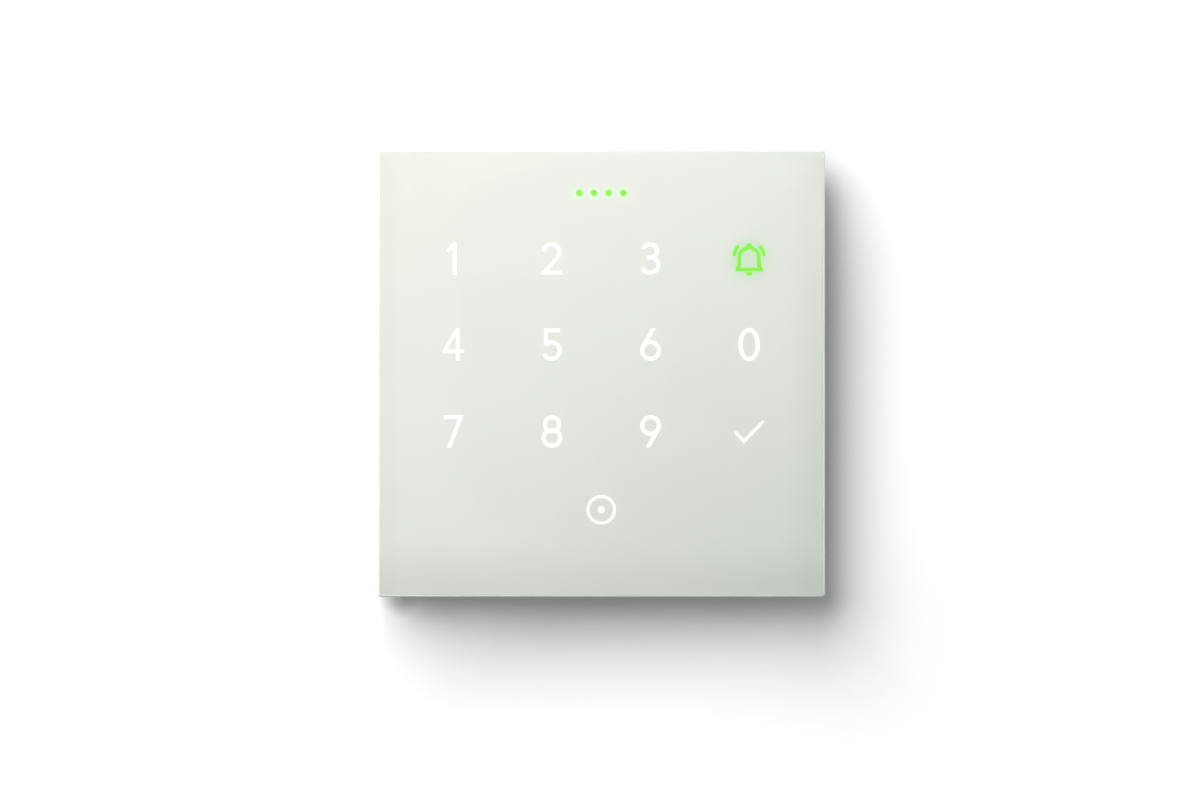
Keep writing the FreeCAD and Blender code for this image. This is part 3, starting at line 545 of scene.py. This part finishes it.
MATERIALS = {slot: make(slot, **settings) for slot, (make, settings) in FINISHES.items()}

slot_of = {part["node"]: part["material_slot"] for part in frame["record"]["subparts"]}
for node_name, node_piece in nodes.items():
    node_piece.data.materials.clear()
    node_piece.data.materials.append(MATERIALS[slot_of[node_name]])


# ---------------------------------------------------------------- softened edges

EDGE_ROUNDING = {
    "rear_housing": 0.12 * MM,
    "wall_bracket": 0.08 * MM,
    "terminal_plug": 0.08 * MM,
    "terminal_header": 0.08 * MM,
    "lock_nut": 0.08 * MM,
}


WELD_REACH = 0.002 * MM
HARD_EDGE_ANGLE = math.radians(35.0)


def soften(piece, width):
    """Rounds the hard edges of a moulded or pressed piece a little."""
    weld = piece.modifiers.new("weld", "WELD")
    weld.merge_threshold = WELD_REACH
    bevel = piece.modifiers.new("bevel", "BEVEL")
    bevel.width = width
    bevel.segments = 2
    bevel.limit_method = "ANGLE"
    bevel.angle_limit = HARD_EDGE_ANGLE


for node_name, rounding in EDGE_ROUNDING.items():
    soften(nodes[node_name], rounding)


# ---------------------------------------------------------------- added pieces

def built_object(name, build, material):
    """Turns a bmesh into an object of the scene."""
    mesh = bpy.data.meshes.new(name)
    build.to_mesh(mesh)
    build.free()
    mesh.materials.append(material)
    return added(name, mesh)


COIL_WIRE_R = 0.12 * MM
COIL_TURNS = 3.5
COIL_STEPS = 112
COIL_SIDES = 12


def tamper_coil():
    """The tamper switch's spring as a round wire, in place of the CAD part's spring."""
    lo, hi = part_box("tamper_spring")
    centre = (lo + hi) / 2
    coil_r = (hi.x - lo.x) / 2 - COIL_WIRE_R
    low, high = lo.y + COIL_WIRE_R, hi.y - COIL_WIRE_R
    build = bmesh.new()
    rings = []
    for step in range(COIL_STEPS + 1):
        share = step / COIL_STEPS
        turn = 2 * math.pi * COIL_TURNS * share
        # The turns close up towards both ends
        along = low + (high - low) * (3 * share ** 2 - 2 * share ** 3)
        ring = []
        for side in range(COIL_SIDES):
            around = 2 * math.pi * side / COIL_SIDES
            reach = coil_r + COIL_WIRE_R * math.cos(around)
            ring.append(build.verts.new((
                centre.x + reach * math.cos(turn),
                along + COIL_WIRE_R * math.sin(around),
                centre.z + reach * math.sin(turn),
            )))
        rings.append(ring)
    for ring, following in zip(rings, rings[1:]):
        for side in range(COIL_SIDES):
            after = (side + 1) % COIL_SIDES
            build.faces.new((ring[side], following[side], following[after], ring[after]))
    build.faces.new(rings[0])
    build.faces.new(rings[-1][::-1])
    for face in build.faces:
        face.smooth = True
    bmesh.ops.recalc_face_normals(build, faces=build.faces)
    coil = built_object("tamper_coil", build, MATERIALS["spring_steel"])
    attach(coil, "front_unit")
    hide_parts("tamper_spring")
    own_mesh(coil)


RULE_INSET = 0.9 * MM
RULE_WIDTH = 0.14 * MM
RULE_HEIGHT = 0.02 * MM
RULE_SPLIT = 8.0 * MM
RULE_SHARES = (0.34, 0.67)


def label_ruling():
    """Ruled fields of the blank label: a border, an upright line and rows, no words."""
    lo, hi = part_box("rating_label")
    left, right = lo.x + RULE_INSET, hi.x - RULE_INSET
    low, high = lo.z + RULE_INSET, hi.z - RULE_INSET
    split = left + RULE_SPLIT
    lines = [
        (left, low, right, low + RULE_WIDTH),
        (left, high - RULE_WIDTH, right, high),
        (left, low, left + RULE_WIDTH, high),
        (right - RULE_WIDTH, low, right, high),
        (split, low, split + RULE_WIDTH, high),
    ]
    for share in RULE_SHARES:
        row = low + (high - low) * share
        lines.append((split, row, right, row + RULE_WIDTH))

    build = bmesh.new()
    for x0, z0, x1, z1 in lines:
        near, far = Vector((x0, hi.y, z0)), Vector((x1, hi.y + RULE_HEIGHT, z1))
        place = Matrix.Translation((near + far) / 2) @ Matrix.Diagonal((*(far - near), 1.0))
        bmesh.ops.create_cube(build, size=1.0, matrix=place)
    print_black = moulded_plastic("label_ruling", (0.05, 0.05, 0.055))
    ruling = built_object("label_ruling", build, print_black)
    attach(ruling, "front_unit")


tamper_coil()
label_ruling()


# ---------------------------------------------------------------- stage

WALL_Y = 0.3 * MM
WALL_TOP = 2.0
FLOOR_Z = -0.125
STAGE_HALF = 2.5

# Light added to the wall. Each line: from and to a distance, from and to a strength.
# The distances of the first four are from the panel's outline
WALL_BOUNCE = (0.0, 5 * MM, 0.035, 0.0)
WALL_CONTACT = (1 * MM, 5 * MM, 0.014, 0.06)
WALL_NEAR = (12 * MM, 32 * MM, 0.0, 0.16)
WALL_FAR = (32 * MM, 110 * MM, 0.0, 0.60)
# These are from the panel's middle: to the right, and towards the lower right
WALL_LEFT = (-50 * MM, -46 * MM, 0.25, 0.0)
WALL_DIAGONAL = (45 * MM, 92 * MM, -0.065, 0.005)

# Shade under the panel's lower left corner
CORNER_PLACE = (glass_lo.x + 4 * MM, WALL_Y, glass_lo.z - 0.6 * MM)
CORNER_SHADE = (0.5 * MM, 5 * MM, 0.56, 1.0)

# The floor's fade to white, by the distance from the panel
FLOOR_FADE = (0.3, 1.4, 0.0, 0.62)


def stage_plane(name, corners, material):
    """A flat surface of the stage, which throws no shadow."""
    mesh = bpy.data.meshes.new(name)
    mesh.from_pydata([Vector(c) for c in corners], [], [(0, 1, 2, 3)])
    mesh.materials.append(material)
    made = added(name, mesh)
    made.visible_shadow = False
    return made


def open_from_behind(g, shader, output, hole=0.0):
    """Lets rays through the back of a stage surface, and through its front where hole is 1."""
    back_face = g.node("ShaderNodeNewGeometry").outputs["Backfacing"]
    clear = g.node("ShaderNodeBsdfTransparent")
    shown = g.mix_shader(g.larger(back_face, hole), shader, clear)
    g.link(shown.outputs[0], output.inputs["Surface"])


def wall_light(g, place, beside, beyond, away):
    """Light added to the wall: white away from the panel, a softer and even shadow near it."""
    below = g.ramp(g.minus(beyond, beside), 0.0, 1 * MM)
    bounce = g.times(below, g.ramp(away, *WALL_BOUNCE))
    contact = g.plus(bounce, g.ramp(away, *WALL_CONTACT))
    near = g.plus(contact, g.ramp(away, *WALL_NEAR))

    # The lamp is close, so its shadow grows darker towards the lower right: this evens it out
    along = g.minus(g.axis(place, "X"), g.axis(place, "Z"))
    at_the_side = g.ramp(g.minus(beside, beyond), 0.0, 1 * MM, 0.0, 0.025)
    evened = g.times(g.ramp(along, 20 * MM, 36 * MM),
                     g.plus(at_the_side, g.ramp(along, *WALL_DIAGONAL)))
    soft_part = g.times(g.ramp(away, 0.0, 8 * MM), g.ramp(away, 24 * MM, 36 * MM, 1.0, 0.0))
    near = g.larger(0.0, g.plus(near, g.times(evened, soft_part)))

    near = g.plus(near, g.ramp(g.axis(place, "X"), *WALL_LEFT))
    return g.plus(near, g.ramp(away, *WALL_FAR))


def wall_material():
    """White wall with painted shade near it. Clear from behind, open behind the panel to all but
    camera rays.
    """
    material, g, shader, output = principled_material("stage_wall")
    place = g.coordinates()
    across, up = g.off_centre(place, "X"), g.off_centre(place, "Z")
    beside = g.larger(g.minus(across, HALF_WIDTH), 0.0)
    beyond = g.larger(g.minus(up, HALF_WIDTH), 0.0)
    away = g.math("SQRT", g.plus(g.times(beside, beside), g.times(beyond, beyond)))

    # Painted shade: the wall is darker within 7 mm of the panel and under its lower left corner
    painted_contact_shade = g.mix_color(g.ramp(away, 0.0, 7 * MM), rgb(0.82, 0.82, 0.82), rgb(0.93, 0.93, 0.93))
    corner_shade = g.ramp(g.distance(place, CORNER_PLACE), *CORNER_SHADE, "SMOOTHSTEP")
    g.link(g.scaled(painted_contact_shade, corner_shade), shader.inputs["Base Color"])
    shader.inputs["Roughness"].default_value = 0.9
    shader.inputs["Specular IOR Level"].default_value = 0.0

    camera_ray = g.light_path("Is Camera Ray")
    shader.inputs["Emission Color"].default_value = rgb(1.0, 1.0, 1.0)
    g.link(g.times(wall_light(g, place, beside, beyond, away), camera_ray),
           shader.inputs["Emission Strength"])
    behind = g.math("LESS_THAN", g.larger(across, up), HALF_WIDTH - 0.3 * MM)
    open_from_behind(g, shader, output, g.times(behind, g.minus(1.0, camera_ray)))
    return material


def floor_material():
    """Pale floor that fades to white far off."""
    material, g, shader, output = principled_material("stage_floor")
    shader.inputs["Base Color"].default_value = rgb(0.80, 0.80, 0.80)
    shader.inputs["Roughness"].default_value = 0.85
    shader.inputs["Emission Color"].default_value = rgb(1.0, 1.0, 1.0)
    away = g.distance(g.coordinates(), (0.0, 0.0, FLOOR_Z))
    g.link(g.times(g.light_path("Is Camera Ray"), g.ramp(away, *FLOOR_FADE)),
           shader.inputs["Emission Strength"])
    open_from_behind(g, shader, output)
    return material


stage_plane(
    "stage_wall",
    [(-STAGE_HALF, WALL_Y, FLOOR_Z), (STAGE_HALF, WALL_Y, FLOOR_Z),
     (STAGE_HALF, WALL_Y, WALL_TOP), (-STAGE_HALF, WALL_Y, WALL_TOP)],
    wall_material(),
)
floor = stage_plane(
    "stage_floor",
    [(-STAGE_HALF, -STAGE_HALF, FLOOR_Z), (STAGE_HALF, -STAGE_HALF, FLOOR_Z),
     (STAGE_HALF, STAGE_HALF, FLOOR_Z), (-STAGE_HALF, STAGE_HALF, FLOOR_Z)],
    floor_material(),
)
floor.visible_diffuse = False
floor.visible_glossy = False


# ---------------------------------------------------------------- light

AMBIENT_LIGHT = 0.26
BACKDROP = rgb(0.93, 0.93, 0.93)

# The key light hangs to the upper left of the camera and faces straight to the wall
KEY_PLACE = Vector((-0.248, -0.40, 0.455))
KEY_SIZE = (0.62, 0.918)
KEY_WATTS = 7.1

# The fill only lights the back of the panel
FILL_PLACE = (-0.45, 0.70, 0.25)
FILL_SIZE = (0.5, 0.5)
FILL_WATTS = 4.0


def studio_world():
    """Dim white light from all round, and a pale backdrop for the camera."""
    world = bpy.data.worlds.new("studio")
    world.use_nodes = True
    world.node_tree.nodes.clear()
    g = Graph(world.node_tree)
    ambient = g.node("ShaderNodeBackground")
    ambient.inputs["Color"].default_value = rgb(1.0, 1.0, 1.0)
    ambient.inputs["Strength"].default_value = AMBIENT_LIGHT
    backdrop = g.node("ShaderNodeBackground")
    backdrop.inputs["Color"].default_value = BACKDROP
    backdrop.inputs["Strength"].default_value = 1.0
    shown = g.mix_shader(g.light_path("Is Camera Ray"), ambient, backdrop)
    g.link(shown.outputs[0], g.node("ShaderNodeOutputWorld").inputs["Surface"])
    return world


def soft_light(name, place, target, size, power):
    """An elliptical area light at place that faces target and isn't seen itself."""
    data = bpy.data.lights.new(name, "AREA")
    data.shape = "ELLIPSE"
    data.size, data.size_y = size
    data.energy = power
    made = added(name, data)
    made.location = place
    made.rotation_mode = "QUATERNION"
    made.rotation_quaternion = (Vector(target) - Vector(place)).to_track_quat("-Z", "Y")
    made.visible_camera = False
    return made


bpy.context.scene.world = studio_world()
key = soft_light("key", KEY_PLACE, KEY_PLACE + Vector((0, 1, 0)), KEY_SIZE, KEY_WATTS)
key.visible_glossy = False
soft_light("rear_fill", FILL_PLACE, (0, 0, 0), FILL_SIZE, FILL_WATTS)


# ---------------------------------------------------------------- camera

LENS = 135.0
SENSOR = 36.0
VIEW_WIDTH = 252.1 * MM
VIEW_CENTRE = (-0.27 * MM, -5.6 * MM)

camera_data = bpy.data.cameras.new("camera")
camera_data.lens = LENS
camera_data.sensor_width = SENSOR
camera_data.dof.use_dof = False
camera_data.clip_start = 0.01
camera_data.clip_end = 20.0
camera = added("camera", camera_data)
camera.location = (VIEW_CENTRE[0], glass_lo.y - VIEW_WIDTH * LENS / SENSOR, VIEW_CENTRE[1])
camera.rotation_euler = (math.radians(90), 0, 0)
bpy.context.scene.camera = camera
bpy.context.scene.view_settings.view_transform = "Standard"
